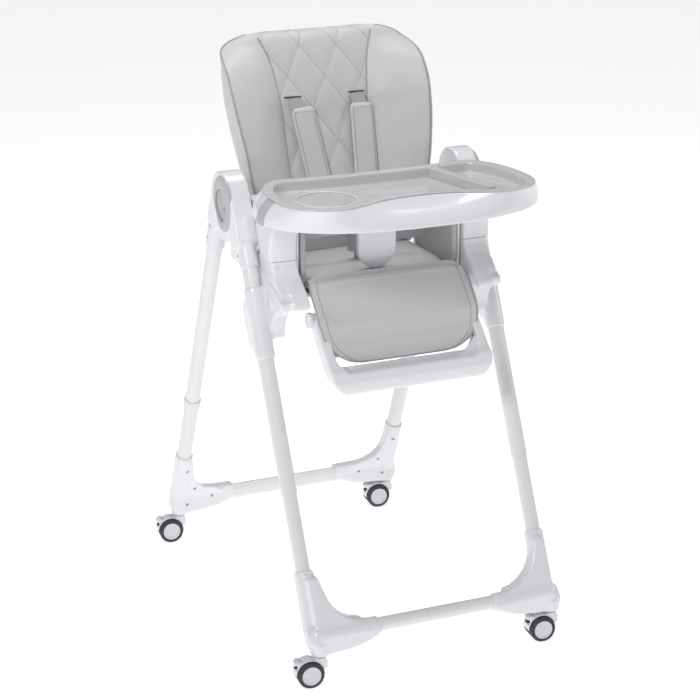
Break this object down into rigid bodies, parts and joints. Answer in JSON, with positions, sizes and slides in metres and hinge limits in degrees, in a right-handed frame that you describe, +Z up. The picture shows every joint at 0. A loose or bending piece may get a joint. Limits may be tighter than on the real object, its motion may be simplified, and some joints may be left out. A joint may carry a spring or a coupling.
{
  "type": "folding baby high chair",
  "caption": "Folding high chair for babies with an A-frame on braked casters, sliding seat height, reclining padded back, hinged leg rest and removable tray.",
  "frame": {"origin": "on the floor midway between the four caster stems", "axes": "+Z up, +X towards the right-hand side as seen from the front, the child looks along -Y"},
  "size_m": [0.5659, 0.7916, 1.1029],
  "materials": {
    "matte_white": "satin moulded plastic",
    "trim_grey": "satin grey plastic",
    "tube": "gloss powder coat",
    "steel": "plain steel",
    "tyre": "matt rubber",
    "cap": "satin moulded plastic",
    "upholstery": "leather-look coated fabric",
    "webbing": "woven webbing with padded sleeves",
    "liner": "gloss grey plastic"
  },
  "bodies": {
    "front_frame": {"front_tube_upper_left": "tube", "front_tube_upper_right": "tube", "front_tube_lower_left": "tube", "front_tube_lower_right": "tube", "front_foot_left": "matte_white", "front_foot_right": "matte_white", "front_crossbar": "tube", "hub_shell_left": "matte_white", "hub_shell_right": "matte_white", "hub_rings": "trim_grey", "fold_pins": "steel"},
    "rear_frame": {"rear_socket_left": "matte_white", "rear_socket_right": "matte_white", "rear_tube_left": "tube", "rear_tube_right": "tube", "rear_foot_left": "matte_white", "rear_foot_right": "matte_white", "rear_crossbar": "tube", "foot_screws": "steel", "tray_hooks": "matte_white"},
    "seat": {"slider_left": "matte_white", "slider_right": "matte_white", "arm_left": "matte_white", "arm_right": "matte_white", "seat_shell": "matte_white", "seat_pad": "upholstery", "lap_harness": "webbing"},
    "back": {"back_shell": "matte_white", "back_pad": "upholstery", "shoulder_harness": "webbing"},
    "leg_rest": {"foot_bar": "matte_white", "foot_bar_knobs": "matte_white", "calf_board": "matte_white", "calf_pad": "upholstery"},
    "tray": {"tray_body": "matte_white", "crotch_post": "matte_white"},
    "liner": {"tray_liner": "liner"},
    "recline_lever": {"recline_lever": "trim_grey"},
    "fold_trigger_left": {"fold_trigger_left": "trim_grey"},
    "height_button_left": {"height_button_left": "trim_grey"},
    "tray_latch_left": {"tray_latch_left": "trim_grey"},
    "fold_trigger_right": {"fold_trigger_right": "trim_grey"},
    "height_button_right": {"height_button_right": "trim_grey"},
    "tray_latch_right": {"tray_latch_right": "trim_grey"},
    "caster_front_left": {"caster_fork_front_left": "matte_white"},
    "wheels_front_left": {"wheel_centres_front_left": "cap", "tyres_front_left": "tyre"},
    "brake_pedal_front_left": {"brake_pedal_front_left": "matte_white"},
    "caster_front_right": {"caster_fork_front_right": "matte_white"},
    "wheels_front_right": {"wheel_centres_front_right": "cap", "tyres_front_right": "tyre"},
    "brake_pedal_front_right": {"brake_pedal_front_right": "matte_white"},
    "caster_rear_left": {"caster_fork_rear_left": "matte_white"},
    "wheels_rear_left": {"wheel_centres_rear_left": "cap", "tyres_rear_left": "tyre"},
    "brake_pedal_rear_left": {"brake_pedal_rear_left": "matte_white"},
    "caster_rear_right": {"caster_fork_rear_right": "matte_white"},
    "wheels_rear_right": {"wheel_centres_rear_right": "cap", "tyres_rear_right": "tyre"},
    "brake_pedal_rear_right": {"brake_pedal_rear_right": "matte_white"}
  },
  "joints": [
    {"name": "fold", "type": "hinge", "parent": "front_frame", "child": "rear_frame", "pos_m": [0, 0.042, 0.857], "axis": [-1, 0, 0], "range_deg": [0, 36]},
    {"name": "fold_trigger_left_pull", "type": "slide", "parent": "front_frame", "child": "fold_trigger_left", "axis": [0, 0, 1], "range_m": [0, 0.008], "stiffness_N_per_m": 250, "springref_m": -0.01},
    {"name": "fold_trigger_right_pull", "type": "slide", "parent": "front_frame", "child": "fold_trigger_right", "axis": [0, 0, 1], "range_m": [0, 0.008], "stiffness_N_per_m": 250, "springref_m": -0.01},
    {"name": "swivel_front_left", "type": "hinge", "parent": "front_frame", "child": "caster_front_left", "pos_m": [-0.24, -0.373, 0.06], "axis": [0, 0, 1], "continuous": true},
    {"name": "roll_front_left", "type": "hinge", "parent": "caster_front_left", "child": "wheels_front_left", "pos_m": [-0.26088, -0.3708, 0.025], "axis": [0.1045, 0.9945, 0], "continuous": true},
    {"name": "brake_front_left", "type": "hinge", "parent": "caster_front_left", "child": "brake_pedal_front_left", "pos_m": [-0.28077, -0.36871, 0.046], "axis": [-0.1045, -0.9945, 0], "range_deg": [0, 12], "stiffness_Nm_per_rad": 0.3, "springref_deg": -11.46},
    {"name": "swivel_front_right", "type": "hinge", "parent": "front_frame", "child": "caster_front_right", "pos_m": [0.24, -0.373, 0.06], "axis": [0, 0, 1], "continuous": true},
    {"name": "roll_front_right", "type": "hinge", "parent": "caster_front_right", "child": "wheels_front_right", "pos_m": [0.21912, -0.3708, 0.025], "axis": [0.1045, 0.9945, 0], "continuous": true},
    {"name": "brake_front_right", "type": "hinge", "parent": "caster_front_right", "child": "brake_pedal_front_right", "pos_m": [0.19923, -0.36871, 0.046], "axis": [-0.1045, -0.9945, 0], "range_deg": [0, 12], "stiffness_Nm_per_rad": 0.3, "springref_deg": -11.46},
    {"name": "swivel_rear_left", "type": "hinge", "parent": "rear_frame", "child": "caster_rear_left", "pos_m": [-0.24, 0.373, 0.06], "axis": [0, 0, 1], "continuous": true},
    {"name": "roll_rear_left", "type": "hinge", "parent": "caster_rear_left", "child": "wheels_rear_left", "pos_m": [-0.26088, 0.3752, 0.025], "axis": [0.1045, 0.9945, 0], "continuous": true},
    {"name": "brake_rear_left", "type": "hinge", "parent": "caster_rear_left", "child": "brake_pedal_rear_left", "pos_m": [-0.28077, 0.37729, 0.046], "axis": [-0.1045, -0.9945, 0], "range_deg": [0, 12], "stiffness_Nm_per_rad": 0.3, "springref_deg": -11.46},
    {"name": "swivel_rear_right", "type": "hinge", "parent": "rear_frame", "child": "caster_rear_right", "pos_m": [0.24, 0.373, 0.06], "axis": [0, 0, 1], "continuous": true},
    {"name": "roll_rear_right", "type": "hinge", "parent": "caster_rear_right", "child": "wheels_rear_right", "pos_m": [0.21912, 0.3752, 0.025], "axis": [0.1045, 0.9945, 0], "continuous": true},
    {"name": "brake_rear_right", "type": "hinge", "parent": "caster_rear_right", "child": "brake_pedal_rear_right", "pos_m": [0.19923, 0.37729, 0.046], "axis": [-0.1045, -0.9945, 0], "range_deg": [0, 12], "stiffness_Nm_per_rad": 0.3, "springref_deg": -11.46},
    {"name": "seat_height", "type": "slide", "parent": "front_frame", "child": "seat", "axis": [0, -0.4242, -0.9056], "range_m": [0, 0.2]},
    {"name": "height_button_left_press", "type": "slide", "parent": "seat", "child": "height_button_left", "axis": [0, -0.9056, 0.4242], "range_m": [0, 0.002], "stiffness_N_per_m": 800, "springref_m": -0.002},
    {"name": "height_button_right_press", "type": "slide", "parent": "seat", "child": "height_button_right", "axis": [0, -0.9056, 0.4242], "range_m": [0, 0.002], "stiffness_N_per_m": 800, "springref_m": -0.002},
    {"name": "recline", "type": "hinge", "parent": "seat", "child": "back", "pos_m": [0, 0.088, 0.684], "axis": [-1, 0, 0], "range_deg": [0, 35]},
    {"name": "recline_lever_pull", "type": "slide", "parent": "back", "child": "recline_lever", "axis": [0, 0.9588, -0.284], "range_m": [0, 0.005], "stiffness_N_per_m": 400, "springref_m": -0.004},
    {"name": "leg_rest_tilt", "type": "hinge", "parent": "seat", "child": "leg_rest", "pos_m": [0, -0.166, 0.628], "axis": [-1, 0, 0], "range_deg": [0, 50]},
    {"name": "tray_slide", "type": "slide", "parent": "seat", "child": "tray", "axis": [0, -1, 0], "range_m": [0, 0.08]},
    {"name": "liner_lift", "type": "slide", "parent": "tray", "child": "liner", "axis": [0, 0, 1], "range_m": [0, 0.04]},
    {"name": "tray_latch_left_press", "type": "slide", "parent": "tray", "child": "tray_latch_left", "axis": [1, 0, 0], "range_m": [0, 0.003], "stiffness_N_per_m": 500, "springref_m": -0.003},
    {"name": "tray_latch_right_press", "type": "slide", "parent": "tray", "child": "tray_latch_right", "axis": [-1, 0, 0], "range_m": [0, 0.003], "stiffness_N_per_m": 500, "springref_m": -0.003}
  ]
}
